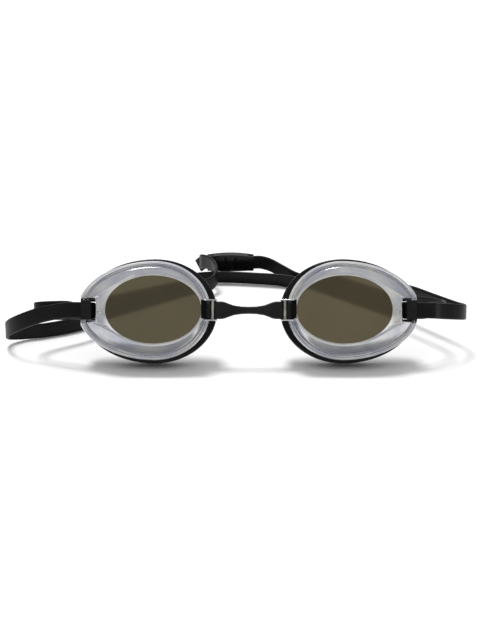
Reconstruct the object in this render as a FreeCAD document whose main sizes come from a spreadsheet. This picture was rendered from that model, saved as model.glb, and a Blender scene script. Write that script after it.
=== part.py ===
import FreeCAD, Part
import math
import os

# Swim goggles, in millimetres. +X is to the wearer's left, the lens fronts face -Y and lean back,
# +Z is up. The origin is the centre of the nose bridge.

os.makedirs("parts", exist_ok=True)
doc = FreeCAD.newDocument("SwimGoggles")
V = FreeCAD.Vector

# ---------------------------------------------------------------- driving dimensions
SIZES = {
    "leanAngle": 24.0,        # degrees that the window's normal points above the horizon
    "floorDrop": 22.6,        # from the bridge's centre down to the table
    "gasketNose": 12.6,       # from the middle to the nasal edge of a gasket
    "eggCentre": 37.5,        # from the middle to the widest point of a cup
    "eggDrop": 0.0,           # how far the cup's centre lies below the bridge's
    "eggHalfHeight": 21.0,
    "eggOutboard": 30.8,      # half axis of the outboard half, which is cut off square
    "cupEnd": 67.0,           # from the middle to the square outboard end
    "flangeInset": 1.2,       # the rim stands this much inside the gasket's outline
    "flangeInsetNose": 2.7,
    "flangeBack": 1.6,
    "flangeFront": 0.6,
    "bevelInset": 1.5,        # step from the rim's edge to the foot of the bevel
    "windowCentre": 37.75,
    "windowDrop": 0.2,
    "windowHalfWidth": 19.2,
    "windowHalfHeight": 13.7,
    "windowFront": 7.0,
    "cupWall": 1.5,
    "cavityNose": 19.9,       # from the middle to the nasal wall of the eye space
    "cavityOutboard": 18.4,
    "cavityHalfHeight": 16.4,
    "gasketDepth": 8.8,
    "gasketOutboardInset": 1.0,
    "gasketRearInset": 0.9,
    "gasketRearOutboard": 4.0,
    "gasketFlareNose": 3.0,   # the eye space widens by this much towards the face
    "gasketFlareOutboard": 2.0,
    "gasketFlareHeight": 1.0,
    "notchInner": 59.7,       # from the middle to the notch for the strap
    "notchHalf": 5.0,
    "barPlace": 14.4,         # from the middle to the nasal bar
    "barRadius": 0.6,
    "barForward": 1.2,
    "lugEdge": 12.6,
    "lugHalfHeight": 4.3,
    "lugFront": 2.4,
    "slotHalfHeight": 3.75,
    "slotEdge": 18.9,
    "bridgeFront": 2.2,
    "bridgeBack": 0.6,
    "bridgeHalfLength": 17.4,
    "bridgeHeadHalf": 3.5,
    "bridgeWaistHalf": 1.4,
    "bridgeNeck": 10.2,
    "hookRadius": 0.68,
    "hookMouth": 1.0,
    "postInner": 64.6,
    "strapSlotInner": 60.5,
    "strapSlotStraight": 60.9,
    "strapSlotHalf": 3.6,
    "strapSeatHalf": 4.8,
    "strapWide": 6.4,
    "strapThick": 1.4,
    "strapLoopCentre": 63.9,
    "strapLoopBack": 0.5,
    "strapLoopRadius": 2.1,
    "strapLeadOut": 2.5,      # straight length behind the post
    "strapTableGap": 0.1,
    "keeperWide": 4.0,
    "keeperWall": 0.5,
    "keeperInset": 0.2,       # from the cup's outboard end
    "keeperProng": 0.7,
    "keeperGap": 0.15,        # between keeper and strap
    "buckleLong": 22.0,
    "buckleTall": 8.0,
    "buckleDeep": 4.8,
    "buckleWall": 0.6,
    "buckleX": -8.0,
    "buckleY": 117.0,
    "buckleDrop": 15.0,
    "buckleSlit": 1.0,
    "buckleSlitGap": 4.6,
    "buckleArch": 1.0,        # rise of the top edge
    "buckleSag": 0.4,         # fall of the bottom edge
    "buckleStrapGap": 0.25,
    "buckleSlitEdge": 0.5,
}
sheet = doc.addObject("Spreadsheet::Sheet", "Sizes")
for row, (name, value) in enumerate(SIZES.items(), start=1):
    sheet.set(f"A{row}", str(value))
    sheet.setAlias(f"A{row}", name)
doc.recompute()

OVERLAP = 0.2   # joined features run this far into each other
BEYOND = 3.0    # cutting outlines run this far past the material
SKIN = 0.01     # lofted cuts start this far outside the material


def size(name):
    """A driving dimension, read back from the sheet."""
    return float(sheet.get(name))


def plane_of(body, role):
    """One of the body's own origin planes, by its role."""
    return next(f for f in body.Origin.OriginFeatures if f.Role == role)


def bind(thing, **expressions):
    """Ties properties of an object to expressions of the sheet's cells."""
    for name, text in expressions.items():
        thing.setExpression(name.replace("__", "."), text)


def new_sketch(body, name, role="XY_Plane", offset="0"):
    """A sketch on one of the body's origin planes, moved along the plane's normal."""
    sketch = body.newObject("Sketcher::SketchObject", name)
    sketch.AttachmentSupport = [(plane_of(body, role), "")]
    sketch.MapMode = "FlatFace"
    sketch.setExpression("AttachmentOffset.Base.z", offset)
    return sketch


def in_cup_frame(thing):
    """Stands an object's local XY plane up as the leaning plane of the cups."""
    thing.setExpression("Placement.Rotation.Angle", "90 - Sizes.leanAngle")
    thing.Placement = FreeCAD.Placement(V(0, 0, 0), FreeCAD.Rotation(V(1, 0, 0), 90 - size("leanAngle")))


# ---------------------------------------------------------------- outlines
def egg(sketch, centre, drop, nose, outboard, half):
    """Two half ellipses that share their upright axis: the cup's outline. All values in mm."""
    middle = V(centre, -drop, 0)
    up = V(0, 1, 0)
    for reach, side in ((nose, -1), (outboard, 1)):
        if reach > half:
            major, minor = middle + V(side * reach, 0, 0), middle + up * half
            ellipse = Part.Ellipse(major, minor, middle)
            start, end = -math.pi / 2, math.pi / 2
        else:
            major, minor = middle + up * half, middle - V(side * reach, 0, 0)
            ellipse = Part.Ellipse(major, minor, middle)
            start, end = math.pi, 2 * math.pi
        sketch.addGeometry(Part.ArcOfEllipse(ellipse, start, end))


def polygon(sketch, corners):
    """A closed outline of straight lines through the corners."""
    for first, second in zip(corners, corners[1:] + corners[:1]):
        sketch.addGeometry(Part.LineSegment(V(*first, 0), V(*second, 0)))


def rectangle(sketch, left, right, bottom, top):
    polygon(sketch, [(left, bottom), (right, bottom), (right, top), (left, top)])


def loft(body, kind, name, lower, upper):
    """A loft between two sketches of one body."""
    feature = body.newObject(kind, name)
    feature.Profile = lower
    feature.Sections = [upper]
    return feature


def pad(body, sketch, name, length):
    feature = body.newObject("PartDesign::Pad", name)
    feature.Profile = sketch
    feature.setExpression("Length", length)
    return feature


def pocket(body, sketch, name, length):
    """Cuts along the sketch's +normal, from the sketch's plane."""
    feature = body.newObject("PartDesign::Pocket", name)
    feature.Profile = sketch
    feature.Reversed = True
    feature.setExpression("Length", length)
    return feature


# ---------------------------------------------------------------- lens cup
def lens_cup(label):
    """One moulding: rim, bevel, flat window, nasal lug with its round bar, and strap slot with its post."""
    body = doc.addObject("PartDesign::Body", "RightCup")
    body.Label = label
    centre, drop = size("eggCentre"), size("eggDrop")
    nose = centre - size("gasketNose") - size("flangeInsetNose")
    half = size("eggHalfHeight") - size("flangeInset")
    step = size("bevelInset")
    through = f"Sizes.flangeBack + Sizes.windowFront + {2 * BEYOND}"

    rim = new_sketch(body, "RimOutline", offset="-Sizes.flangeBack")
    egg(rim, centre, drop, nose, size("eggOutboard"), half)
    pad(body, rim, "Rim", "Sizes.flangeBack + Sizes.flangeFront")

    foot = new_sketch(body, "BevelFoot", offset=f"Sizes.flangeFront - {OVERLAP}")
    egg(foot, centre, drop, nose - step * 0.5, size("eggOutboard") - 2 * step, half - step)
    top = new_sketch(body, "WindowOutline", offset="Sizes.windowFront")
    window = size("windowCentre")
    wide, high = size("windowHalfWidth"), size("windowHalfHeight")
    egg(top, window, size("windowDrop"), wide, wide, high)
    loft(body, "PartDesign::AdditiveLoft", "Bevel", foot, top)

    lug = new_sketch(body, "LugOutline", offset="-Sizes.flangeBack")
    lug_half = size("lugHalfHeight")
    rectangle(lug, size("lugEdge"), size("cavityNose") + BEYOND, -lug_half, lug_half)
    pad(body, lug, "Lug", "Sizes.flangeBack + Sizes.lugFront")

    slot = new_sketch(body, "NasalSlotOutline", offset=f"-Sizes.flangeBack - {BEYOND}")
    slot_half = size("slotHalfHeight")
    rectangle(slot, size("lugEdge") - BEYOND, size("slotEdge"), -slot_half, slot_half)
    pocket(body, slot, "NasalSlot", through)

    lower = new_sketch(body, "EyeSpaceRear", offset=f"-Sizes.flangeBack - {SKIN}")
    egg(lower, centre, drop, centre - size("cavityNose"), size("cavityOutboard"), size("cavityHalfHeight"))
    upper = new_sketch(body, "EyeSpaceFront", offset="Sizes.windowFront - Sizes.cupWall")
    inner = window - size("cavityNose")
    egg(upper, window, size("windowDrop"), inner, inner, size("windowHalfHeight") - size("cupWall"))
    loft(body, "PartDesign::SubtractiveLoft", "EyeSpace", lower, upper)

    strap = new_sketch(body, "StrapSlotOutline", offset=f"-Sizes.flangeBack - {BEYOND}")
    straight, tall = size("strapSlotStraight"), size("strapSlotHalf")
    post = size("postInner")
    corners = [V(straight, tall, 0), V(post, tall, 0), V(post, -tall, 0), V(straight, -tall, 0)]
    for first, second in zip(corners, corners[1:]):
        strap.addGeometry(Part.LineSegment(first, second))
    strap.addGeometry(Part.Arc(corners[3], V(size("strapSlotInner"), 0, 0), corners[0]))
    pocket(body, strap, "StrapSlot", through)

    seat = new_sketch(body, "StrapSeatOutline", offset="Sizes.flangeFront")
    rectangle(seat, straight, size("cupEnd") + BEYOND, -size("strapSeatHalf"), size("strapSeatHalf"))
    pocket(body, seat, "StrapSeat", through)

    square = new_sketch(body, "OutboardCut", offset=f"-Sizes.flangeBack - {BEYOND}")
    rectangle(square, size("cupEnd"), size("cupEnd") + BEYOND, -size("eggHalfHeight"), size("eggHalfHeight"))
    pocket(body, square, "SquareEnd", through)

    bar = body.newObject("PartDesign::AdditiveCylinder", "NasalBar")
    bar.Placement = FreeCAD.Placement(
        V(size("barPlace"), size("slotHalfHeight") + OVERLAP, size("barForward")), FreeCAD.Rotation(V(1, 0, 0), 90)
    )
    bind(bar, Radius="Sizes.barRadius", Height=f"2 * Sizes.slotHalfHeight + {2 * OVERLAP}")
    in_cup_frame(body)
    return body


def gasket(label):
    """Soft silicone ring behind the rim, open right through, notched where the strap passes."""
    body = doc.addObject("PartDesign::Body", "RightGasket")
    body.Label = label
    centre, drop, half = size("eggCentre"), size("eggDrop"), size("eggHalfHeight")
    nose = centre - size("gasketNose")
    rear = size("gasketRearInset")
    front = new_sketch(body, "GasketFront", offset="-Sizes.flangeBack")
    outboard = size("eggOutboard") - size("gasketOutboardInset")
    egg(front, centre, drop, nose, outboard, half)
    back = new_sketch(body, "GasketBack", offset="-Sizes.flangeBack - Sizes.gasketDepth")
    egg(back, centre, drop, nose - rear, size("eggOutboard") - size("gasketRearOutboard"), half - rear)
    loft(body, "PartDesign::AdditiveLoft", "GasketRing", front, back)
    inner = new_sketch(body, "GasketSpaceFront", offset=f"-Sizes.flangeBack + {SKIN}")
    space = centre - size("cavityNose"), size("cavityOutboard"), size("cavityHalfHeight")
    flare = size("gasketFlareNose"), size("gasketFlareOutboard"), size("gasketFlareHeight")
    egg(inner, centre, drop, *space)
    outer = new_sketch(body, "GasketSpaceBack", offset=f"-Sizes.flangeBack - Sizes.gasketDepth - {SKIN}")
    egg(outer, centre, drop, *[reach + extra for reach, extra in zip(space, flare)])
    loft(body, "PartDesign::SubtractiveLoft", "GasketSpace", inner, outer)
    notch = new_sketch(body, "StrapNotchOutline", offset=f"-Sizes.flangeBack - Sizes.gasketDepth - {BEYOND}")
    rectangle(notch, size("notchInner"), size("cupEnd") + BEYOND, -size("notchHalf"), size("notchHalf"))
    pocket(body, notch, "StrapNotch", f"Sizes.gasketDepth + {2 * BEYOND}")
    in_cup_frame(body)
    return body


# ---------------------------------------------------------------- nose bridge
def nose_bridge(label):
    """Bone-shaped bar whose ends pass behind the cups' bars and hold them in round grooves."""
    body = doc.addObject("PartDesign::Body", "Bridge")
    body.Label = label
    end, neck = size("bridgeHalfLength"), size("bridgeNeck")
    head, waist = size("bridgeHeadHalf"), size("bridgeWaistHalf")
    outline = new_sketch(body, "BridgeOutline", offset="-Sizes.bridgeBack")
    for side in (1, -1):
        outline.addGeometry(Part.Arc(V(-neck, side * head, 0), V(0, side * waist, 0), V(neck, side * head, 0)))
        outline.addGeometry(Part.LineSegment(V(neck, side * head, 0), V(end, side * head, 0)))
        outline.addGeometry(Part.LineSegment(V(-neck, side * head, 0), V(-end, side * head, 0)))
        outline.addGeometry(Part.LineSegment(V(side * end, -head, 0), V(side * end, head, 0)))
    pad(body, outline, "BridgeBar", "Sizes.bridgeBack + Sizes.bridgeFront")

    groove = new_sketch(body, "HookGrooves", role="XZ_Plane")
    mouth, front = size("hookMouth") / 2, size("bridgeFront") + BEYOND
    radius, forward = size("hookRadius"), size("barForward")
    shoulder = forward + math.sqrt(radius**2 - mouth**2)
    for side in (1, -1):
        bar = side * size("barPlace")
        left, right = V(bar - mouth, shoulder, 0), V(bar + mouth, shoulder, 0)
        groove.addGeometry(Part.Arc(left, V(bar, forward - radius, 0), right))
        groove.addGeometry(Part.LineSegment(right, V(bar + mouth, front, 0)))
        groove.addGeometry(Part.LineSegment(V(bar + mouth, front, 0), V(bar - mouth, front, 0)))
        groove.addGeometry(Part.LineSegment(V(bar - mouth, front, 0), left))
    cut = body.newObject("PartDesign::Pocket", "BarGrooves")
    cut.Profile = groove
    cut.Type = "ThroughAll"
    cut.Midplane = True
    in_cup_frame(body)
    return body


# ---------------------------------------------------------------- strap keepers
def keeper(name, label, side, edge):
    """C-shaped clip over the strap at one post, with three prongs on its top (1) or bottom (-1) edge."""
    body = doc.addObject("PartDesign::Body", name)
    body.Label = label
    wall, wide = size("keeperWall"), size("keeperWide")
    gap = size("keeperGap")
    inner = size("strapWide") / 2 + gap
    back = size("flangeFront") + gap
    face = size("strapLoopRadius") - size("strapLoopBack") + size("strapThick") / 2 + gap
    outboard = size("cupEnd") - size("keeperInset")
    start = outboard - wide if side > 0 else -outboard
    profile = new_sketch(body, name + "Profile", role="YZ_Plane", offset=str(start))
    channel = [(-inner - wall, back), (-inner, back), (-inner, face), (inner, face), (inner, back)]
    channel += [(inner + wall, back), (inner + wall, face + wall), (-inner - wall, face + wall)]
    polygon(profile, channel)
    pad(body, profile, name + "Clip", "Sizes.keeperWide")
    comb = new_sketch(body, name + "CombOutline", offset=str(back))
    prong = wide / 5
    low, high = sorted((edge * (inner + wall / 2), edge * (inner + wall + size("keeperProng"))))
    for step in range(3):
        left = start + 2 * step * prong
        rectangle(comb, left, left + prong, low, high)
    pad(body, comb, name + "Comb", str(face + wall - back))
    in_cup_frame(body)
    return body


# ---------------------------------------------------------------- strap
def cup_point(x, v, w):
    """A point in the leaning frame of the cups: x sideways, v up the window, w out of it."""
    lean = math.radians(size("leanAngle"))
    return (x, v * math.sin(lean) - w * math.cos(lean), v * math.cos(lean) + w * math.sin(lean))


def strap_loop(side):
    """The band's turn round a post, from in front of it, through the slot, to behind it."""
    lean, centre = size("leanAngle"), size("strapLoopCentre")
    points = []
    for degrees in range(90, 271, 30):
        turn = math.radians(degrees)
        x = centre + size("strapLoopRadius") * math.cos(turn)
        w = -size("strapLoopBack") + size("strapLoopRadius") * math.sin(turn)
        points.append((*cup_point(side * x, 0, w), lean))
    behind = -size("strapLoopBack") - size("strapLoopRadius")
    for x in (size("cupEnd"), size("cupEnd") + size("strapLeadOut")):
        points.append((*cup_point(side * x, 0, behind), lean))
    return points


# Centre height of a band that stands on the table.
LYING = SIZES["strapWide"] / 2 + SIZES["strapTableGap"] - SIZES["floorDrop"]

# Each route point is x, y, z of the band's centre, and the degrees that its top edge leans to the rear.
LEFT_OUTER = [
    (-73.0, -0.6, 0.3, 22),
    (-84.0, 3.6, -3.2, 16),
    (-94.0, 8.6, -8.4, 9),
    (-99.0, 15.0, -13.0, 3),
    (-99.6, 22.4, -17.0, 0),
    (-94.6, 27.6, LYING + 0.4, 0),
    (-85.0, 31.6, LYING, 0),
    (-72.0, 40.0, LYING, 0),
    (-57.0, 57.0, LYING, 0),
]
LOWER_RUN = [
    (-44.0, 80.0, LYING, 0),
    (-37.0, 94.0, LYING, -6),
    (-26.0, 103.0, LYING, -14),
    (-13.0, 106.4, LYING, -18),
    (3.0, 104.4, LYING, -18),
    (17.6, 100.6, LYING, -14),
    (29.0, 92.0, LYING, -6),
]
RIGHT_INNER = [
    (38.0, 81.0, LYING, 0),
    (46.0, 71.0, -17.5, 0),
    (55.0, 58.0, -13.0, 0),
    (64.0, 44.0, -9.6, 0),
    (71.5, 32.0, -7.6, 4),
    (77.5, 22.5, -5.6, 10),
    (80.0, 15.0, -4.0, 16),
    (77.5, 8.8, -2.6, 20),
    (72.5, 5.0, -1.6, 23),
]
LEFT_INNER = [
    (-73.0, 4.0, -0.6, 23),
    (-80.2, 6.2, -1.4, 18),
    (-86.0, 9.8, -3.0, 12),
    (-86.2, 15.6, -5.4, 6),
    (-80.0, 21.2, -8.0, 0),
    (-68.0, 30.0, -10.6, 0),
    (-55.0, 44.0, -13.4, 0),
]
UPPER_RUN = [
    (-42.0, 60.0, -15.6, 0),
    (-31.0, 74.5, -16.8, 0),
    (-22.6, 84.0, -17.4, 0),
    (-16.4, 90.0, -17.0, 0),
    (-14.4, 95.6, -14.8, 0),
    (-15.8, 101.4, -12.6, 0),
    (-18.6, 107.0, -12.2, 0),
    (-21.2, 111.4, -12.9, 0),
    (-21.8, 114.6, -14.3, 0),
    (-19.0, 116.2, -15.0, 0),
    (-8.0, 116.2, -15.0, 0),
    (2.0, 116.2, -15.0, 0),
    (6.4, 116.2, -15.0, 0),
    (11.2, 114.4, -15.9, 0),
    (16.6, 109.2, -17.4, 0),
    (23.2, 102.2, -18.9, 0),
    (31.6, 96.0, LYING + 0.1, 0),
]
TAIL = [
    (1.0, 117.8, -15.0, 0),
    (-11.0, 117.8, -15.0, 0),
    (-18.4, 117.8, -15.0, 0),
    (-21.2, 118.6, -15.9, 0),
    (-23.2, 120.2, -17.8, 0),
]
RIGHT_OUTER = [
    (42.0, 88.6, LYING, 0),
    (52.0, 77.0, -16.6, -8),
    (62.0, 63.0, -11.6, -18),
    (70.0, 51.0, -8.6, -24),
    (78.0, 38.6, -8.0, -24),
    (86.2, 25.4, -7.6, -12),
    (88.8, 17.0, -6.2, 4),
    (86.0, 9.4, -3.8, 14),
    (77.0, 2.8, -1.2, 20),
    (72.5, -0.9, 0.3, 23),
]
STEPS = 6   # cross-sections per stretch between two route points


def smooth(route):
    """Points, leans and directions along a Catmull-Rom line through the route, STEPS to a stretch."""
    count = len(route)
    ends = [tuple(2 * a - b for a, b in zip(route[0], route[1]))]
    tail = [tuple(2 * a - b for a, b in zip(route[-1], route[-2]))]
    points = ends + list(route) + tail
    result = []
    for index in range(count - 1):
        p0, p1, p2, p3 = points[index : index + 4]
        last = 1 if index == count - 2 else 0
        for step in range(STEPS + last):
            k = step / STEPS
            place, slope = [], []
            for a, b, c, d in zip(p0, p1, p2, p3):
                c1, c2, c3 = (c - a) / 2, a - 2.5 * b + 2 * c - d / 2, (d - a) / 2 + 1.5 * (b - c)
                place.append(b + k * (c1 + k * (c2 + k * c3)))
                slope.append(c1 + k * (2 * c2 + 3 * k * c3))
            result.append((V(*place[:3]), place[3], V(*slope[:3])))
    return result


def band_section(place, lean, along):
    """The band's rectangular cross-section at one place."""
    tilt = math.radians(lean)
    along = V(along).normalize()
    up = V(0, math.sin(tilt), math.cos(tilt))
    up = (up - along * up.dot(along)).normalize()
    out = up.cross(along).normalize()
    tall, thick = up * (size("strapWide") / 2), out * (size("strapThick") / 2)
    corners = [place + tall + thick, place - tall + thick, place - tall - thick, place + tall - thick]
    return Part.makePolygon(corners + corners[:1])


def band_node(name, label, sections):
    """One stretch of the strap as a closed solid through its cross-sections."""
    solid = Part.makeLoft(sections, True, True)
    feature = doc.addObject("Part::Feature", name)
    feature.Label = label
    feature.Shape = solid
    return feature


def split_band(parts):
    """Makes the nodes of one continuous band from a list of (name, label, route)."""
    whole, cuts = [], [0]
    for _, _, route in parts:
        whole += route
        cuts.append(len(whole))
    sections = [band_section(*station) for station in smooth(whole)]
    made = []
    for index, (name, label, _) in enumerate(parts):
        first = cuts[index] * STEPS
        last = min(cuts[index + 1] * STEPS, len(sections) - 1)
        made.append(band_node(name, label, sections[first : last + 1]))
    return made


left_loop = strap_loop(-1)
right_loop = strap_loop(1)
lower_band = split_band(
    [
        ("LeftOuter", "left_strap_outer", left_loop[-2::-1] + LEFT_OUTER),
        ("LowerRun", "strap_lower_run", LOWER_RUN),
        ("RightInner", "right_strap_inner", RIGHT_INNER + right_loop[:-3:-1]),
    ]
)
upper_band = split_band(
    [
        ("LeftInner", "left_strap_inner", left_loop[-2:] + LEFT_INNER),
        ("UpperRun", "strap_upper_run", UPPER_RUN),
        ("RightOuter", "right_strap_outer", RIGHT_OUTER + right_loop[:-1]),
    ]
)
tail_band = split_band([("Tail", "strap_tail", TAIL)])


# ---------------------------------------------------------------- rear buckle
def buckle(label):
    """Sleeve with an arched top and two slits in its front, through which the strap runs."""
    body = doc.addObject("PartDesign::Body", "Buckle")
    body.Label = label
    half, tall = size("buckleLong") / 2, size("buckleTall") / 2
    top, bottom = tall - size("buckleArch"), size("buckleSag") - tall
    outline = new_sketch(body, "BuckleOutline", role="XZ_Plane", offset="-Sizes.buckleDeep / 2")
    outline.addGeometry(Part.Arc(V(-half, top, 0), V(0, tall, 0), V(half, top, 0)))
    outline.addGeometry(Part.LineSegment(V(half, top, 0), V(half, bottom, 0)))
    outline.addGeometry(Part.Arc(V(half, bottom, 0), V(0, -tall, 0), V(-half, bottom, 0)))
    outline.addGeometry(Part.LineSegment(V(-half, bottom, 0), V(-half, top, 0)))
    pad(body, outline, "BuckleBlock", "Sizes.buckleDeep")
    tunnel = new_sketch(body, "TunnelOutline", role="YZ_Plane", offset="-Sizes.buckleLong")
    depth = size("buckleDeep") / 2 - size("buckleWall")
    height = size("strapWide") / 2 + size("buckleStrapGap")
    rectangle(tunnel, -depth, depth, -height, height)
    pocket(body, tunnel, "Tunnel", "2 * Sizes.buckleLong")
    slits = new_sketch(body, "SlitOutlines", role="XZ_Plane")
    slit_top = height - size("buckleSlitEdge")
    for side in (-1, 1):
        middle = side * size("buckleSlitGap") / 2
        slit = size("buckleSlit") / 2
        rectangle(slits, middle - slit, middle + slit, -slit_top, slit_top)
    pocket(body, slits, "Slits", "Sizes.buckleDeep")
    bind(
        body,
        Placement__Base__x="Sizes.buckleX",
        Placement__Base__y="Sizes.buckleY",
        Placement__Base__z="-Sizes.buckleDrop",
    )
    return body


def mirror_twin(source, name, label):
    """The same piece on the other side of the nose."""
    twin = doc.addObject("Part::Mirroring", name)
    twin.Source = source
    twin.Normal = V(1, 0, 0)
    twin.Label = label
    return twin


right_cup = lens_cup("right_lens_cup")
right_gasket = gasket("right_gasket")
doc.recompute()
left_cup = mirror_twin(right_cup, "LeftCup", "left_lens_cup")
left_gasket = mirror_twin(right_gasket, "LeftGasket", "left_gasket")
bridge = nose_bridge("nose_bridge")
right_clip = keeper("RightKeeper", "right_strap_keeper", 1, -1)
left_clip = keeper("LeftKeeper", "left_strap_keeper", -1, 1)
rear_buckle = buckle("rear_buckle")
doc.recompute()

nodes = [right_cup, left_cup, right_gasket, left_gasket, bridge, right_clip, left_clip, rear_buckle]
nodes += lower_band + upper_band + tail_band
for thing in doc.Objects:
    if "Invalid" in thing.State or "Error" in thing.State:
        raise RuntimeError(f"{thing.Name} failed: {thing.State}")
for node in nodes:
    if node.Shape.isNull() or not node.Shape.isValid():
        raise RuntimeError(f"{node.Label} has no valid shape")
for node in nodes:
    print(node.Label, len(node.Shape.Solids), "solid,", round(node.Shape.Volume, 1), "mm3")
    node.Shape.exportStep(f"parts/{node.Label}.step")
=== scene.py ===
import math

import bmesh
import bpy
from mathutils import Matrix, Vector


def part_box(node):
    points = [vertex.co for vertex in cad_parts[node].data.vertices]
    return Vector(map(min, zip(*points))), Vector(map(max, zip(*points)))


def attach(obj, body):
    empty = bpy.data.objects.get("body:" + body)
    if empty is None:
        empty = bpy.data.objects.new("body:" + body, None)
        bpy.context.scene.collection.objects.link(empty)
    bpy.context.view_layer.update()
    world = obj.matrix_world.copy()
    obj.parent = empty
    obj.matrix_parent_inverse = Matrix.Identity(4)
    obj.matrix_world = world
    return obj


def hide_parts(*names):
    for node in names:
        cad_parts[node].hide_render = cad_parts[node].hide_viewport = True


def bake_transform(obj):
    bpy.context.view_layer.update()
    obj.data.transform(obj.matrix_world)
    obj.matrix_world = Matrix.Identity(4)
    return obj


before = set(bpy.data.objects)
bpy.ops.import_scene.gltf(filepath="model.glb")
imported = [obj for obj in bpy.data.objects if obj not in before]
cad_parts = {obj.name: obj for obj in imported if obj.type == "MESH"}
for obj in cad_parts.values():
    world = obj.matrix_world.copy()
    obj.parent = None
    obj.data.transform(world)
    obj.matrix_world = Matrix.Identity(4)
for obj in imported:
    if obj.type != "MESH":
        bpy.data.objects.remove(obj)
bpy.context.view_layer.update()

# Swim goggles. The row frame is in metres, and the sizes below are in millimetres, as in the CAD part.
MM = 0.001
LEAN = math.radians(24.0)      # the window's normal points this far above the horizon
FLOOR_Z = min(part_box(name)[0][2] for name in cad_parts)

# ---------------------------------------------------------------- camera
CAMERA_HEIGHT = math.radians(19.0)
CAMERA_DISTANCE = 600.0
CAMERA_AIM = Vector((-3.5, 0.0, -4.0))
CAMERA_LENS = 84.4


def add_camera():
    """The camera, at the photograph's viewing angle."""
    data = bpy.data.cameras.new("camera")
    data.lens = CAMERA_LENS
    data.clip_start = 0.01
    camera = bpy.data.objects.new("camera", data)
    bpy.context.collection.objects.link(camera)
    back = Vector((0, -math.cos(CAMERA_HEIGHT), math.sin(CAMERA_HEIGHT)))
    camera.location = (CAMERA_AIM + back * CAMERA_DISTANCE) * MM
    camera.rotation_euler = (math.pi / 2 - CAMERA_HEIGHT, 0, 0)
    bpy.context.scene.camera = camera


add_camera()


# ---------------------------------------------------------------- shared helpers
def cup_point(x, v, w):
    """A point of the cups' leaning frame (x sideways, v up the window, w out of it), in metres."""
    y = v * math.sin(LEAN) - w * math.cos(LEAN)
    z = v * math.cos(LEAN) + w * math.sin(LEAN)
    return Vector((x, y, z)) * MM


def new_object(name, bm, smooth_angle=35.0):
    """A mesh object from bmesh, smooth but for edges sharper than the angle."""
    bmesh.ops.recalc_face_normals(bm, faces=bm.faces)
    mesh = bpy.data.meshes.new(name)
    bm.to_mesh(mesh)
    bm.free()
    mesh.shade_smooth()
    mesh.set_sharp_from_angle(angle=math.radians(smooth_angle))
    piece = bpy.data.objects.new(name, mesh)
    bpy.context.collection.objects.link(piece)
    return piece


def ring_surface(bm, rings, close_across=False):
    """Joins closed rings of the same number of points with quads, and the last ring to the first if asked."""
    rows = [[bm.verts.new(point) for point in ring] for ring in rings]
    pairs = list(zip(rows, rows[1:]))
    if close_across:
        pairs.append((rows[-1], rows[0]))
    for low, high in pairs:
        count = len(low)
        for i in range(count):
            j = (i + 1) % count
            bm.faces.new((low[i], low[j], high[j], high[i]))
    return rows


def prism(outline, depth_from, depth_to, place):
    """A closed prism of a flat outline. place(a, b, depth) gives the point in metres."""
    bm = bmesh.new()
    rows = ring_surface(bm, [[place(a, b, d) for a, b in outline] for d in (depth_from, depth_to)])
    for row in rows:
        bm.faces.new(row)
    return bm


def apply_modifiers(piece):
    """Bakes the piece's modifiers into its mesh."""
    depsgraph = bpy.context.evaluated_depsgraph_get()
    mesh = bpy.data.meshes.new_from_object(piece.evaluated_get(depsgraph))
    piece.modifiers.clear()
    piece.data = mesh


def combine(piece, cutters, operation):
    """Cuts closed meshes from the piece, or joins them to it, and removes them."""
    for cutter in cutters:
        modifier = piece.modifiers.new(cutter.name, "BOOLEAN")
        modifier.operation = operation
        modifier.solver = "EXACT"
        modifier.object = cutter
    apply_modifiers(piece)
    for cutter in cutters:
        bpy.data.objects.remove(cutter)


def soften(piece, width, segments=3, angle=30.0):
    """Rounds the piece's sharp edges by a small bevel, in millimetres."""
    modifier = piece.modifiers.new("soft_edges", "BEVEL")
    modifier.width = width * MM
    modifier.segments = segments
    modifier.limit_method = "ANGLE"
    modifier.angle_limit = math.radians(angle)
    modifier.harden_normals = True
    modifier.use_clamp_overlap = True
    apply_modifiers(piece)


def finish_piece(piece, body, slot, materials, *nodes):
    """Materials, body, slot (not used) and the CAD nodes that the piece stands for."""
    for material in materials:
        piece.data.materials.append(material)
    if body:
        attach(piece, body)
    if nodes:
        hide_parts(*nodes)


# ---------------------------------------------------------------- materials
def new_material(name, color, metallic, roughness):
    """A material with one Principled shader. Returns the material, its nodes, links and shader."""
    material = bpy.data.materials.new(name)
    material.use_nodes = True
    nodes, links = material.node_tree.nodes, material.node_tree.links
    shader = nodes["Principled BSDF"]
    shader.inputs["Base Color"].default_value = (*color, 1)
    shader.inputs["Metallic"].default_value = metallic
    shader.inputs["Roughness"].default_value = roughness
    return material, nodes, links, shader


def object_noise(nodes, links, scale, detail=3.0, stretch=(1, 1, 1)):
    """Noise in the object's own coordinates, stretched along the axes."""
    place = nodes.new("ShaderNodeTexCoord")
    mapping = nodes.new("ShaderNodeMapping")
    mapping.inputs["Scale"].default_value = stretch
    noise = nodes.new("ShaderNodeTexNoise")
    noise.inputs["Scale"].default_value = scale
    noise.inputs["Detail"].default_value = detail
    links.new(place.outputs["Object"], mapping.inputs["Vector"])
    links.new(mapping.outputs["Vector"], noise.inputs["Vector"])
    return noise.outputs["Fac"]


def ramp(nodes, links, source, low, high, start=0.35, end=0.65):
    """Two colours, from low to high, as source goes from start to end."""
    node = nodes.new("ShaderNodeValToRGB")
    node.color_ramp.elements[0].position = start
    node.color_ramp.elements[1].position = end
    node.color_ramp.elements[0].color = (*low, 1)
    node.color_ramp.elements[1].color = (*high, 1)
    links.new(source, node.inputs["Fac"])
    return node.outputs["Color"]


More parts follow.
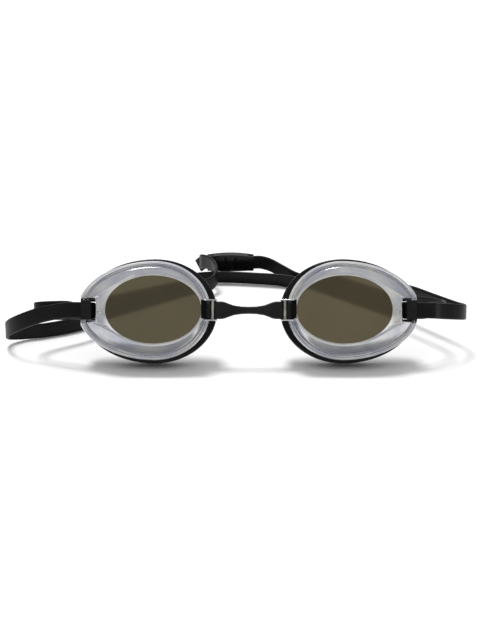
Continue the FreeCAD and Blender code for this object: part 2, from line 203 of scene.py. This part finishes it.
def spread(nodes, links, source, low, high):
    """Maps source from 0..1 to low..high."""
    node = nodes.new("ShaderNodeMapRange")
    node.inputs["To Min"].default_value = low
    node.inputs["To Max"].default_value = high
    links.new(source, node.inputs["Value"])
    return node.outputs["Result"]


def add_bump(nodes, links, shader, source, distance):
    """A bump of the given height in metres."""
    bump = nodes.new("ShaderNodeBump")
    bump.inputs["Distance"].default_value = distance
    bump.inputs["Strength"].default_value = 1.0
    links.new(source, bump.inputs["Height"])
    links.new(bump.outputs["Normal"], shader.inputs["Normal"])


def silver_mirror():
    """The mirror coat on the bevel: pale silver with a faint lilac cast and a trace of ripple."""
    material, nodes, links, shader = new_material("silver_mirror", (0.46, 0.46, 0.50), 0.92, 0.12)
    tint = object_noise(nodes, links, 90.0)
    links.new(ramp(nodes, links, tint, (0.36, 0.37, 0.44), (0.56, 0.56, 0.56)), shader.inputs["Base Color"])
    ripple = object_noise(nodes, links, 160.0, stretch=(1, 0.4, 0.4))
    links.new(spread(nodes, links, ripple, 0.08, 0.16), shader.inputs["Roughness"])
    add_bump(nodes, links, shader, ripple, 0.00006)
    shader.inputs["Coat Weight"].default_value = 0.6
    shader.inputs["Coat Roughness"].default_value = 0.05
    return material


def bronze_mirror():
    """The window's coat: dark bronze-olive, with a slow change of tint across it."""
    material, nodes, links, shader = new_material("bronze_mirror", (0.185, 0.155, 0.095), 0.95, 0.02)
    tint = object_noise(nodes, links, 35.0)
    colour = ramp(nodes, links, tint, (0.172, 0.150, 0.096), (0.200, 0.166, 0.102))
    links.new(colour, shader.inputs["Base Color"])
    wipe = object_noise(nodes, links, 220.0, detail=6.0)
    links.new(spread(nodes, links, wipe, 0.012, 0.035), shader.inputs["Roughness"])
    return material


def clear_edge_highlight():
    """Polycarbonate at its uncoated edges: cream, glossy and a little bright, the brightness a painted
    highlight on the line round the window and on the nasal bar.
    """
    material, nodes, links, shader = new_material("clear_edge_highlight", (0.40, 0.39, 0.34), 0.0, 0.12)
    tint = object_noise(nodes, links, 400.0)
    links.new(ramp(nodes, links, tint, (0.30, 0.29, 0.25), (0.50, 0.49, 0.43)), shader.inputs["Base Color"])
    shader.inputs["Coat Weight"].default_value = 1.0
    shader.inputs["Coat Roughness"].default_value = 0.04
    return material


def black_silicone(name, low, high, grain):
    """Black silicone with faint colour change, its gloss broken by fine grain."""
    material, nodes, links, shader = new_material(name, (0.010, 0.010, 0.011), 0.0, low)
    tint = object_noise(nodes, links, 120.0)
    colour = ramp(nodes, links, tint, (0.003, 0.003, 0.0035), (0.006, 0.006, 0.007))
    links.new(colour, shader.inputs["Base Color"])
    fine = object_noise(nodes, links, 900.0, detail=5.0)
    links.new(spread(nodes, links, fine, low, high), shader.inputs["Roughness"])
    add_bump(nodes, links, shader, fine, grain)
    shader.inputs["Specular IOR Level"].default_value = 0.14
    return material


def black_plastic(name, low, high, grain):
    """Moulded black plastic: spark-eroded grain, rougher in patches."""
    material, nodes, links, shader = new_material(name, (0.014, 0.014, 0.015), 0.0, low)
    tint = object_noise(nodes, links, 200.0)
    colour = ramp(nodes, links, tint, (0.004, 0.004, 0.0045), (0.009, 0.009, 0.010))
    links.new(colour, shader.inputs["Base Color"])
    fine = object_noise(nodes, links, 2600.0, detail=4.0)
    links.new(spread(nodes, links, fine, low, high), shader.inputs["Roughness"])
    add_bump(nodes, links, shader, fine, grain)
    shader.inputs["Specular IOR Level"].default_value = 0.2
    return material


def rim_mirror_lit_copy():
    """The same coat on the flat rim and round the window, given a brighter base than the bevel as a painted
    highlight.
    """
    material, nodes, links, shader = new_material("rim_mirror_lit_copy", (0.69, 0.69, 0.73), 0.9, 0.2)
    tint = object_noise(nodes, links, 110.0)
    links.new(ramp(nodes, links, tint, (0.60, 0.61, 0.68), (0.78, 0.78, 0.76)), shader.inputs["Base Color"])
    ripple = object_noise(nodes, links, 200.0)
    links.new(spread(nodes, links, ripple, 0.14, 0.28), shader.inputs["Roughness"])
    shader.inputs["Coat Weight"].default_value = 0.6
    shader.inputs["Coat Roughness"].default_value = 0.05
    return material


SILVER = silver_mirror()
RIM_LIT_COPY = rim_mirror_lit_copy()
BRONZE = bronze_mirror()
EDGE_HIGHLIGHT = clear_edge_highlight()
GASKET = black_silicone("gasket_silicone", 0.10, 0.26, 0.00002)
STRAP = black_silicone("strap_silicone", 0.30, 0.46, 0.00003)
SATIN = black_plastic("bridge_plastic", 0.34, 0.50, 0.00003)
GLOSS = black_plastic("gloss_plastic", 0.12, 0.24, 0.00001)

# ---------------------------------------------------------------- cup outlines
EGG_CENTRE = 37.5
EGG_DROP = 0.0
WINDOW_CENTRE = 37.75
WINDOW_DROP = 0.2
WINDOW_HALF_WIDE = 19.2
WINDOW_HALF_TALL = 13.7
WINDOW_FRONT = 7.0
CUP_END = 67.0
FLANGE_BACK = -1.6
FLANGE_FRONT = 0.6
AROUND = 192               # points round each cup


def egg(turn, nose, outboard, half, end=CUP_END):
    """A point of the cup's outline: two half ellipses, cut off square at the outboard end."""
    reach = outboard if math.cos(turn) > 0 else nose
    return min(EGG_CENTRE + reach * math.cos(turn), end), -EGG_DROP + half * math.sin(turn)


def window_oval(turn, inset=0.0):
    """A point of the flat window's outline, drawn in by the inset."""
    x = WINDOW_CENTRE + (WINDOW_HALF_WIDE - inset) * math.cos(turn)
    return x, -WINDOW_DROP + (WINDOW_HALF_TALL - inset) * math.sin(turn)


RAMP_START = math.radians(58)   # the ramp to the strap lies within this angle of the outboard side
RAMP_END_X = 64.4
RAMP_END_HALF = 4.6
RAMP_END_FRONT = 2.2
RAMP_STEEPNESS = 1.25
RAMP_SPREAD = 1.6


def crest(turn):
    """The bevel's upper edge: the window's outline, drawn out to the strap's slot on the outboard side."""
    x, v = window_oval(turn, -0.9)
    off = abs(math.atan2(math.sin(turn), math.cos(turn)))
    if off >= RAMP_START:
        return x, v, WINDOW_FRONT
    k = min(1.0, RAMP_STEEPNESS * (1 - off / RAMP_START))
    pull = k * k * (3 - 2 * k)
    end_v = RAMP_END_HALF * math.sin(turn) / math.sin(RAMP_START) * RAMP_SPREAD
    end_v = max(-RAMP_END_HALF, min(RAMP_END_HALF, end_v))
    w = WINDOW_FRONT + (RAMP_END_FRONT - WINDOW_FRONT) * pull**1.3
    return x + (RAMP_END_X - x) * pull, v + (end_v - v) * pull, w


def between(first, second, k):
    """The point a share k of the way from the first to the second."""
    return tuple(a + (b - a) * k for a, b in zip(first, second))


def cup_rings():
    """Rings of the cup's shell from the window's middle, over the front, round the rim and back inside."""
    turns = [2 * math.pi * (i + 0.5) / AROUND for i in range(AROUND)]

    def level(outline, w):
        return [(*outline(turn), w) for turn in turns]

    def flange(inset):
        nose = EGG_CENTRE - 12.6 - 2.7 - inset
        return lambda turn: egg(turn, nose, 30.8 - inset, 19.8 - inset, CUP_END - inset)

    top = [crest(turn) for turn in turns]
    foot = [(*egg(turn, 20.4, 28.8, 18.2, CUP_END - 1.9), FLANGE_FRONT - 0.1) for turn in turns]

    def window_ring(share, w):
        return level(lambda turn: window_oval(turn, WINDOW_HALF_TALL * share), w)

    rings = [window_ring(share, WINDOW_FRONT) for share in (0.97, 0.6, 0.2)]
    rings += [level(lambda turn: window_oval(turn, inset), WINDOW_FRONT) for inset in (0.3, 0.2)]
    edge = level(lambda turn: window_oval(turn, 0.0), WINDOW_FRONT - 0.12)
    rings.append(edge)
    rings.append([between(a, b, 0.5) for a, b in zip(edge, top)])
    for k in (0.0, 0.06, 0.2, 0.4, 0.6, 0.8, 0.94, 1.0):
        bulge = 0.55 * math.sin(math.pi * k)
        ring = []
        for high, low in zip(top, foot):
            x, v, w = between(high, low, k)
            ring.append((x, v, w + bulge))
        rings.append(ring)
    for inset, w in ((1.35, FLANGE_FRONT + 0.25), (0.9, FLANGE_FRONT + 0.42), (0.35, FLANGE_FRONT + 0.3)):
        rings.append(level(flange(inset), w))
    for inset, w in ((0.0, FLANGE_FRONT - 0.1), (0.0, FLANGE_BACK + 0.2), (0.25, FLANGE_BACK)):
        rings.append(level(flange(inset), w))
    rings.append(level(lambda turn: egg(turn, 17.6, 18.4, 16.4), FLANGE_BACK))
    rings.append(level(lambda turn: egg(turn, 17.5, 18.3, 16.2), FLANGE_BACK + 0.4))
    rear = rings[-1]
    front = level(lambda turn: window_oval(turn, 1.5), WINDOW_FRONT - 1.6)
    rings += [[between(a, b, k) for a, b in zip(rear, front)] for k in (0.35, 0.7, 1.0)]
    rings += [window_ring(share, WINDOW_FRONT - 1.6) for share in (0.5, 0.97)]
    return rings


WINDOW_RINGS = 4     # ring gaps from the middle that belong to the flat window
EDGE_RINGS = 5       # ring gaps up to here are the bright line round it, a painted highlight
LAND_RINGS = 7       # ring gaps up to here lie flat round the window
BEVEL_RINGS = 13     # ring gaps up to here are the bevel; the rim follows
LUG_EDGE = 12.6      # nasal end of the lug, from the middle
SLOT_INNER = 60.5    # the strap slot is a D, with its round side to the nose
SLOT_SWELL = 0.4
SLOT_HALF = 3.6
POST_INNER = 64.6
CUT_BACK = -3.0      # cutters run from here, behind the material,
CUT_FRONT = 12.0     # to here, in front of it
CUT_NASAL = 10.0     # and from here, clear of the lug,
CUT_BEYOND = 5       # to this far past the cup's outer end
SKIN = 0.02          # keeps two cut faces from lying in one plane
BAR_PLACE = 14.4     # from the middle to the nasal bar
BAR_FORWARD = 1.2


def build_cup(side, body, node):
    """One lens cup: shell, nasal lug and bar, slots."""
    bm = bmesh.new()
    rings = [[cup_point(side * x, v, w) for x, v, w in ring] for ring in cup_rings()]
    rows = ring_surface(bm, rings)
    bm.faces.ensure_lookup_table()
    for index, face in enumerate(bm.faces):
        gap = index // AROUND
        if gap < WINDOW_RINGS:
            face.material_index = 1
        # index 2: the bright line round the window, a painted highlight
        elif gap < EDGE_RINGS:
            face.material_index = 2
        # the flat land and the rim take the brighter copy of the coat, a painted highlight
        elif gap < LAND_RINGS or gap >= BEVEL_RINGS:
            face.material_index = 3
    bm.faces.new(rows[0]).material_index = 1
    bm.faces.new(rows[-1])
    piece = new_object(f"{node}_shell", bm, 28)
    for material in (SILVER, BRONZE, EDGE_HIGHLIGHT, RIM_LIT_COPY):
        piece.data.materials.append(material)

    def place(x, v, w):
        return cup_point(side * x, v, w)

    def block(name, left, right, bottom, top, low, high):
        corners = [(left, bottom), (right, bottom), (right, top), (left, top)]
        return new_object(name, prism(corners, low, high, place))

    lug = block("lug", LUG_EDGE, 20.4, -4.3, 4.3, FLANGE_BACK - SKIN, 2.4)
    lug.data.materials.append(SILVER)
    soften(lug, 0.2)
    combine(piece, [lug], "UNION")
    turns = [math.pi * (k / 12 - 0.5) for k in range(13)]
    arc = [(SLOT_INNER + SLOT_SWELL * (1 - math.cos(a)), SLOT_HALF * math.sin(a)) for a in turns]
    dee = [(POST_INNER, -SLOT_HALF)] + arc + [(POST_INNER, SLOT_HALF)]
    seat_inner, seat_outer = SLOT_INNER + SLOT_SWELL + SKIN, CUP_END + CUT_BEYOND
    cutters = [block("nasal_slot", CUT_NASAL, 18.9, -3.75, 3.75, CUT_BACK, CUT_FRONT)]
    cutters.append(new_object("strap_slot", prism(dee, CUT_BACK, CUT_FRONT, place)))
    cutters.append(block("strap_seat", seat_inner, seat_outer, -4.8, 4.8, FLANGE_FRONT + SKIN, CUT_FRONT))
    combine(piece, cutters, "DIFFERENCE")
    bar = bmesh.new()
    bar_rings = []
    circle = [2 * math.pi * i / 24 for i in range(24)]
    for v, radius in ((-3.95, 0.8), (-3.8, 0.6), (3.8, 0.6), (3.95, 0.8)):
        spots = [(BAR_PLACE + radius * math.cos(a), BAR_FORWARD + radius * math.sin(a)) for a in circle]
        bar_rings.append([place(x, v, w) for x, w in spots])
    for row in ring_surface(bar, bar_rings)[:: len(bar_rings) - 1]:
        bar.faces.new(row)
    bar_piece = new_object(f"{node}_bar", bar)
    # the bar takes the cream edge material, its brightness a painted highlight
    finish_piece(bar_piece, body, "mirror_lens", [EDGE_HIGHLIGHT])
    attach(piece, body)
    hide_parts(node)
    piece.data.shade_smooth()
    piece.data.set_sharp_from_angle(angle=math.radians(28))


# ---------------------------------------------------------------- gaskets
def build_gasket(side, body, node):
    """A glossy ring with a rolled front edge and a soft lip behind."""
    turns = [2 * math.pi * (i + 0.5) / AROUND for i in range(AROUND)]
    # depth behind the flange, how far the outside is drawn in
    profile = [(-0.05, 1.6), (-0.1, 0.55), (-0.5, 0.1), (-1.4, 0.0), (-3.0, 0.25)]
    profile += [(-5.5, 0.7), (-7.6, 0.8), (-8.4, 1.1), (-8.8, 1.9)]
    # depth behind the flange, how far along from outside to inside
    inner = [(-8.75, 0.75), (-8.2, 0.95), (-5.5, 0.9), (-2.0, 1.0), (-0.05, 1.0)]
    bm = bmesh.new()
    rings = []
    for depth, inset in profile:
        ring = []
        for turn in turns:
            x, v = egg(turn, 24.9 - inset, 29.8 - inset, 21.0 - inset, CUP_END - 0.4)
            ring.append(cup_point(side * x, v, FLANGE_BACK + depth))
        rings.append(ring)
    for depth, k in inner:
        ring = []
        for turn in turns:
            outside = egg(turn, 23.0, 27.9, 19.1, CUP_END - 0.4)
            inside = egg(turn, 18.1 - 0.25 * depth, 18.8 - 0.15 * depth, 16.6 - 0.08 * depth)
            x, v = between(outside, inside, k)
            ring.append(cup_point(side * x, v, FLANGE_BACK + depth))
        rings.append(ring)
    ring_surface(bm, rings, close_across=True)
    piece = new_object(f"{node}_ring", bm, 60)
    outline = [(59.6, -5), (75, -5), (75, 5), (59.6, 5)]
    notch = prism(outline, -14, -1.5, lambda x, v, w: cup_point(side * x, v, w))
    combine(piece, [new_object("notch", notch)], "DIFFERENCE")
    finish_piece(piece, body, "gasket_silicone", [GASKET], node)


# ---------------------------------------------------------------- nose bridge
def rounded_box(half_u, half_v, radius, steps=6):
    """A rounded rectangle's outline, counter-clockwise."""
    points = []
    for cu, cv, start in ((1, 1, 0), (-1, 1, 90), (-1, -1, 180), (1, -1, 270)):
        for k in range(steps + 1):
            a = math.radians(start + 90 * k / steps)
            u = cu * (half_u - radius) + radius * math.cos(a)
            points.append((u, cv * (half_v - radius) + radius * math.sin(a)))
    return points


def build_bridge():
    """A bone-shaped bar. Each end dips behind the cup's bar and comes forward again as a knob."""
    # distance from the middle, half height, back, front
    waist = [(0, 1.4, -0.4, 2.0), (3, 1.5, -0.4, 2.0), (6, 1.95, -0.5, 2.1), (8, 2.65, -0.6, 2.2)]
    head = [(9.4, 3.2, -0.6, 2.2), (10.6, 3.48, -0.6, 2.2), (12, 3.5, -0.6, 2.25), (13.3, 3.5, -0.6, 2.25)]
    groove = [(13.55, 3.45, -0.6, 1.8), (13.65, 3.4, -0.6, 0.5), (14.4, 3.4, -0.6, 0.32)]
    groove.append((15.15, 3.4, -0.6, 0.5))
    knob = [(15.3, 3.4, -0.6, 2.2), (15.7, 3.4, -0.6, 2.9), (16.8, 3.3, -0.6, 2.9), (17.3, 3.0, -0.4, 2.4)]
    half = waist + head + groove + knob + [(17.4, 2.2, 0.0, 1.6)]
    stations = [(-x, tall, back, front) for x, tall, back, front in half[:0:-1]] + half
    bm = bmesh.new()
    rings = []
    for x, tall, back, front in stations:
        deep = (front - back) / 2
        radius = min(0.7, deep * 0.8, tall * 0.6)
        outline = rounded_box(tall, deep, radius)
        rings.append([cup_point(x, v, (front + back) / 2 + w) for v, w in outline])
    rows = ring_surface(bm, rings)
    for row in (rows[0], rows[-1]):
        bm.faces.new(row)
    piece = new_object("nose_bridge_bar", bm, 50)
    finish_piece(piece, "root", "bridge_plastic", [SATIN], "nose_bridge")


# ---------------------------------------------------------------- strap
STRAP_WIDE = 6.4
STRAP_THICK = 1.4
LOOP_CENTRE = 63.9
LOOP_BACK = 0.5
LOOP_RADIUS = 2.1
LYING = -22.6 + STRAP_WIDE / 2 + 0.1
RIBS = 5                    # fine lengthwise ribs on each broad face
RIB_DEPTH = 0.05
STEPS = 14                  # cross-sections per stretch between two route points

# Each route point is x, y, z of the band's centre, and the degrees that its top edge leans to the rear.
LEFT_OUTER = [
    (-73.0, -0.6, 0.3, 22),
    (-84.0, 3.6, -3.2, 16),
    (-94.0, 8.6, -8.4, 9),
    (-99.0, 15.0, -13.0, 3),
    (-99.6, 22.4, -17.0, 0),
    (-94.6, 27.6, LYING + 0.4, 0),
    (-85.0, 31.6, LYING, 0),
    (-72.0, 40.0, LYING, 0),
    (-57.0, 57.0, LYING, 0),
]
LOWER_RUN = [
    (-44.0, 80.0, LYING, 0),
    (-37.0, 94.0, LYING, -6),
    (-26.0, 103.0, LYING, -14),
    (-13.0, 106.4, LYING, -18),
    (3.0, 104.4, LYING, -18),
    (17.6, 100.6, LYING, -14),
    (29.0, 92.0, LYING, -6),
]
RIGHT_INNER = [
    (38.0, 81.0, LYING, 0),
    (46.0, 71.0, -17.5, 0),
    (55.0, 58.0, -13.0, 0),
    (64.0, 44.0, -9.6, 0),
    (71.5, 32.0, -7.6, 4),
    (77.5, 22.5, -5.6, 10),
    (80.0, 15.0, -4.0, 16),
    (77.5, 8.8, -2.6, 20),
    (72.5, 5.0, -1.6, 23),
]
LEFT_INNER = [
    (-73.0, 4.0, -0.6, 23),
    (-80.2, 6.2, -1.4, 18),
    (-86.0, 9.8, -3.0, 12),
    (-86.2, 15.6, -5.4, 6),
    (-80.0, 21.2, -8.0, 0),
    (-68.0, 30.0, -10.6, 0),
    (-55.0, 44.0, -13.4, 0),
]
UPPER_RUN = [
    (-42.0, 60.0, -15.6, 0),
    (-31.0, 74.5, -16.8, 0),
    (-22.6, 84.0, -17.4, 0),
    (-16.4, 90.0, -17.0, 0),
    (-14.4, 95.6, -14.8, 0),
    (-15.8, 101.4, -12.6, 0),
    (-18.6, 107.0, -12.2, 0),
    (-21.2, 111.4, -12.9, 0),
    (-21.8, 114.6, -14.3, 0),
    (-19.0, 116.2, -15.0, 0),
    (-8.0, 116.2, -15.0, 0),
    (2.0, 116.2, -15.0, 0),
    (6.4, 116.2, -15.0, 0),
    (11.2, 114.4, -15.9, 0),
    (16.6, 109.2, -17.4, 0),
    (23.2, 102.2, -18.9, 0),
    (31.6, 96.0, LYING + 0.1, 0),
]
TAIL = [
    (1.0, 117.8, -15.0, 0),
    (-11.0, 117.8, -15.0, 0),
    (-18.4, 117.8, -15.0, 0),
    (-21.2, 118.6, -15.9, 0),
    (-23.2, 120.2, -17.8, 0),
]
RIGHT_OUTER = [
    (42.0, 88.6, LYING, 0),
    (52.0, 77.0, -16.6, -8),
    (62.0, 63.0, -11.6, -18),
    (70.0, 51.0, -8.6, -24),
    (78.0, 38.6, -8.0, -24),
    (86.2, 25.4, -7.6, -12),
    (88.8, 17.0, -6.2, 4),
    (86.0, 9.4, -3.8, 14),
    (77.0, 2.8, -1.2, 20),
    (72.5, -0.9, 0.3, 23),
]


def strap_loop(side):
    """The band's turn round a post, from in front of it, through the slot, to behind it."""
    lean = math.degrees(LEAN)
    points = []
    for degrees in range(90, 271, 30):
        turn = math.radians(degrees)
        x = LOOP_CENTRE + LOOP_RADIUS * math.cos(turn)
        points.append((*(cup_point(side * x, 0, -LOOP_BACK + LOOP_RADIUS * math.sin(turn)) / MM), lean))
    for x in (CUP_END, CUP_END + 2.5):
        points.append((*(cup_point(side * x, 0, -LOOP_BACK - LOOP_RADIUS) / MM), lean))
    return points


def smooth(route):
    """Points, leans and directions along a Catmull-Rom line through the route, STEPS to a stretch."""
    count = len(route)
    ends = [tuple(2 * a - b for a, b in zip(route[0], route[1]))]
    tail = [tuple(2 * a - b for a, b in zip(route[-1], route[-2]))]
    points = ends + list(route) + tail
    result = []
    for index in range(count - 1):
        p0, p1, p2, p3 = points[index : index + 4]
        last = 1 if index == count - 2 else 0
        for step in range(STEPS + last):
            k = step / STEPS
            place, slope = [], []
            for a, b, c, d in zip(p0, p1, p2, p3):
                c1, c2, c3 = (c - a) / 2, a - 2.5 * b + 2 * c - d / 2, (d - a) / 2 + 1.5 * (b - c)
                place.append(b + k * (c1 + k * (c2 + k * c3)))
                slope.append(c1 + k * (2 * c2 + 3 * k * c3))
            result.append((Vector(place[:3]), place[3], Vector(slope[:3])))
    return result


def band_outline():
    """Half height and thickness offsets round the band's section: rounded edges, ribbed broad faces."""
    points = []
    tall, thick = STRAP_WIDE / 2, STRAP_THICK / 2
    edge = 0.45
    per_rib = 4
    for face in (1, -1):
        for k in range(RIBS * per_rib + 1):
            share = k / (RIBS * per_rib)
            height = (tall - edge) * (1 - 2 * share) * face
            dip = RIB_DEPTH * (0.5 - 0.5 * math.cos(2 * math.pi * share * RIBS))
            points.append((height, face * (thick - RIB_DEPTH + dip)))
        for k in range(1, 6):
            a = math.pi * k / 6
            height = -face * (tall - edge + edge * math.sin(a))
            points.append((height, face * (thick - RIB_DEPTH) * math.cos(a)))
    return points


def band_mesh(stations):
    """The band's mesh through its stations, closed at both ends."""
    outline = band_outline()
    bm = bmesh.new()
    rings = []
    for place, lean, along in stations:
        tilt = math.radians(lean)
        along = along.normalized()
        up = Vector((0, math.sin(tilt), math.cos(tilt)))
        up = (up - along * up.dot(along)).normalized()
        out = up.cross(along).normalized()
        rings.append([(place + up * a + out * b) * MM for a, b in outline])
    rows = ring_surface(bm, rings)
    for row in (rows[0], rows[-1]):
        bm.faces.new(row)
    return bm


def build_band(parts):
    """The pieces of one continuous band, from a list of (node, route, cup body or None)."""
    whole, cuts = [], [0]
    for _, route, _ in parts:
        whole += route
        cuts.append(len(whole))
    stations = smooth(whole)
    for index, (node, _, cup) in enumerate(parts):
        first = cuts[index] * STEPS
        last = min(cuts[index + 1] * STEPS, len(stations) - 1)
        piece = new_object(f"{node}_band", band_mesh(stations[first : last + 1]), 60)
        finish_piece(piece, None if cup else "root", "strap_silicone", [STRAP], node)
        if cup:
            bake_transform(piece)


def build_strap():
    """The whole strap: two runs from post to post, and the free tail at the buckle."""
    left, right = strap_loop(-1), strap_loop(1)
    build_band(
        [
            ("left_strap_outer", left[-2::-1] + LEFT_OUTER, "left_cup"),
            ("strap_lower_run", LOWER_RUN, None),
            ("right_strap_inner", RIGHT_INNER + right[:-3:-1], "right_cup"),
        ]
    )
    build_band(
        [
            ("left_strap_inner", left[-2:] + LEFT_INNER, "left_cup"),
            ("strap_upper_run", UPPER_RUN, None),
            ("right_strap_outer", RIGHT_OUTER + right[:-1], "right_cup"),
        ]
    )
    build_band([("strap_tail", TAIL, None)])


# ---------------------------------------------------------------- keepers and buckle
def build_keeper(side, body, node, comb_edge):
    """The small clip over the strap at the post, with its comb of three prongs."""
    wall, wide = 0.5, 4.0
    inner = STRAP_WIDE / 2 + 0.15
    back = FLANGE_FRONT + 0.15
    face = LOOP_RADIUS - LOOP_BACK + STRAP_THICK / 2 + 0.15
    channel = [(-inner - wall, back), (-inner, back), (-inner, face), (inner, face), (inner, back)]
    channel += [(inner + wall, back), (inner + wall, face + wall), (-inner - wall, face + wall)]
    start, end = CUP_END - wide - 0.2, CUP_END - 0.2
    piece = new_object(node + "_clip", prism(channel, start, end, lambda v, w, x: cup_point(side * x, v, w)))
    prongs = []
    for step in range(3):
        left = start + 2 * step * wide / 5
        low, high = sorted((comb_edge * (inner + wall / 2), comb_edge * (inner + wall + 0.7)))
        outline = [(left, low), (left + wide / 5, low), (left + wide / 5, high), (left, high)]
        prong = prism(outline, back + 0.1, face + wall - 0.1, lambda x, v, w: cup_point(side * x, v, w))
        prongs.append(new_object(f"prong_{step}", prong))
    combine(piece, prongs, "UNION")
    soften(piece, 0.12)
    finish_piece(piece, body, "keeper_plastic", [GLOSS], node)


BUCKLE_PLACE = Vector((-8.0, 117.0, -15.0))


def build_buckle():
    """The rear buckle: arched sleeve with two slits and raised ends."""
    half, tall, deep = 11.0, 4.0, 2.4

    def place(x, z, y):
        return (BUCKLE_PLACE + Vector((x, y, z))) * MM

    outline = []
    for k in range(25):
        x = half * (1 - 2 * k / 24)
        outline.append((x, tall - 1.0 * (x / half) ** 2))
    for k in range(25):
        x = -half * (1 - 2 * k / 24)
        outline.append((x, -tall + 0.4 * (x / half) ** 2))
    piece = new_object("rear_buckle_sleeve", prism(outline, -deep, deep, place))
    height = STRAP_WIDE / 2 + 0.25

    def block(name, x0, x1, z0, z1, y0, y1):
        return new_object(name, prism([(x0, z0), (x1, z0), (x1, z1), (x0, z1)], y0, y1, place))

    cutters = [block("tunnel", -half - 1, half + 1, -height, height, -deep + 0.6, deep - 0.6)]
    for sign in (-1, 1):
        slit, slit_top = sign * 2.3, height - 0.5
        cutters.append(block(f"slit_{sign}", slit - 0.5, slit + 0.5, -slit_top, slit_top, -deep - 1, 0))
    combine(piece, cutters, "DIFFERENCE")
    ledge = block("ledge", -half + 0.4, half - 0.4, -tall + 0.35, -tall + 1.0, -deep - 0.35, -deep + 0.3)
    combine(piece, [ledge], "UNION")
    soften(piece, 0.22)
    finish_piece(piece, "buckle", "buckle_plastic", [GLOSS], "rear_buckle")


# ---------------------------------------------------------------- stage
ZENITH_LIGHT = 0.9          # radiance straight overhead
HORIZON_LIGHT = 0.40        # share of it at the horizon
FRONT_LIGHT = 0.90          # share of the light that is left on the camera's side
BAND_LIGHT = 0.26           # radiance of the dark bands that the windows show


def add_sun(name, direction, spread_angle, strength):
    """A distant soft lamp that shines from the given direction."""
    data = bpy.data.lights.new(name, "SUN")
    data.energy = strength
    data.angle = math.radians(spread_angle)
    light = bpy.data.objects.new(name, data)
    bpy.context.collection.objects.link(light)
    light.rotation_euler = Vector(direction).to_track_quat("Z", "Y").to_euler()


def add_floor():
    """A large plain pale floor at the level that the goggles rest on."""
    bm = bmesh.new()
    reach = 4.0
    corners = [(-reach, -reach), (reach, -reach), (reach, reach), (-reach, reach)]
    bm.faces.new([bm.verts.new((x, y, FLOOR_Z)) for x, y in corners])
    floor = new_object("floor", bm)
    floor.data.materials.append(new_material("floor_white", (0.92, 0.92, 0.92), 0.0, 0.6)[0])


def add_card(name, corners, brightness):
    """A card that only reflections see, for the shapes that the mirrors show."""
    bm = bmesh.new()
    bm.faces.new([bm.verts.new(corner) for corner in corners])
    card = new_object(name, bm)
    material = bpy.data.materials.new(name)
    material.use_nodes = True
    nodes, links = material.node_tree.nodes, material.node_tree.links
    nodes.clear()
    glow = nodes.new("ShaderNodeEmission")
    glow.inputs["Color"].default_value = (brightness, brightness, brightness, 1)
    output = nodes.new("ShaderNodeOutputMaterial")
    links.new(glow.outputs["Emission"], output.inputs["Surface"])
    card.data.materials.append(material)
    card.visible_camera = False
    card.visible_diffuse = False
    card.visible_shadow = False


def add_world():
    """Soft studio surroundings, brighter overhead and a little darker on the camera's side."""
    world = bpy.data.worlds.new("studio")
    bpy.context.scene.world = world
    world.use_nodes = True
    nodes, links = world.node_tree.nodes, world.node_tree.links
    background = nodes["Background"]
    place = nodes.new("ShaderNodeTexCoord")
    split = nodes.new("ShaderNodeSeparateXYZ")
    height = nodes.new("ShaderNodeValToRGB")
    behind = nodes.new("ShaderNodeValToRGB")
    mix = nodes.new("ShaderNodeMix")
    mix.data_type = "RGBA"
    mix.blend_type = "MULTIPLY"
    mix.inputs["Factor"].default_value = 1.0
    links.new(place.outputs["Generated"], split.inputs["Vector"])
    links.new(split.outputs["Z"], height.inputs["Fac"])
    links.new(split.outputs["Y"], behind.inputs["Fac"])
    links.new(height.outputs["Color"], mix.inputs["A"])
    links.new(behind.outputs["Color"], mix.inputs["B"])
    links.new(mix.outputs["Result"], background.inputs["Color"])
    for node, end, lowest in ((height, 1.0, HORIZON_LIGHT), (behind, 0.25, FRONT_LIGHT)):
        for element, position, level in zip(node.color_ramp.elements, (0.0, end), (lowest, 1.0)):
            element.position = position
            element.color = (level, level, level, 1)
    background.inputs["Strength"].default_value = ZENITH_LIGHT


def add_stage():
    """Floor, surroundings, the overhead lamp, and the dark shapes that the flat windows reflect."""
    add_floor()
    add_world()
    add_sun("key", (-0.15, 0.30, 1.0), 18.0, 2.2)
    y = -2.0
    add_card("band_left", [(0, y, 1.219), (-0.9, y, 0.999), (-0.9, y, 0.884), (0, y, 1.191)], BAND_LIGHT)
    add_card("band_right", [(0, y, 1.275), (0.9, y, 0.925), (0.9, y, 0.855), (0, y, 1.225)], BAND_LIGHT)
    bpy.context.scene.view_settings.view_transform = "Standard"


# ---------------------------------------------------------------- make everything
for cup_side, name in ((-1, "left"), (1, "right")):
    build_cup(cup_side, f"{name}_cup", f"{name}_lens_cup")
    build_gasket(cup_side, f"{name}_cup", f"{name}_gasket")
build_bridge()
build_strap()
build_keeper(1, "right_cup", "right_strap_keeper", -1)
build_keeper(-1, "left_cup", "left_strap_keeper", 1)
build_buckle()
add_stage()
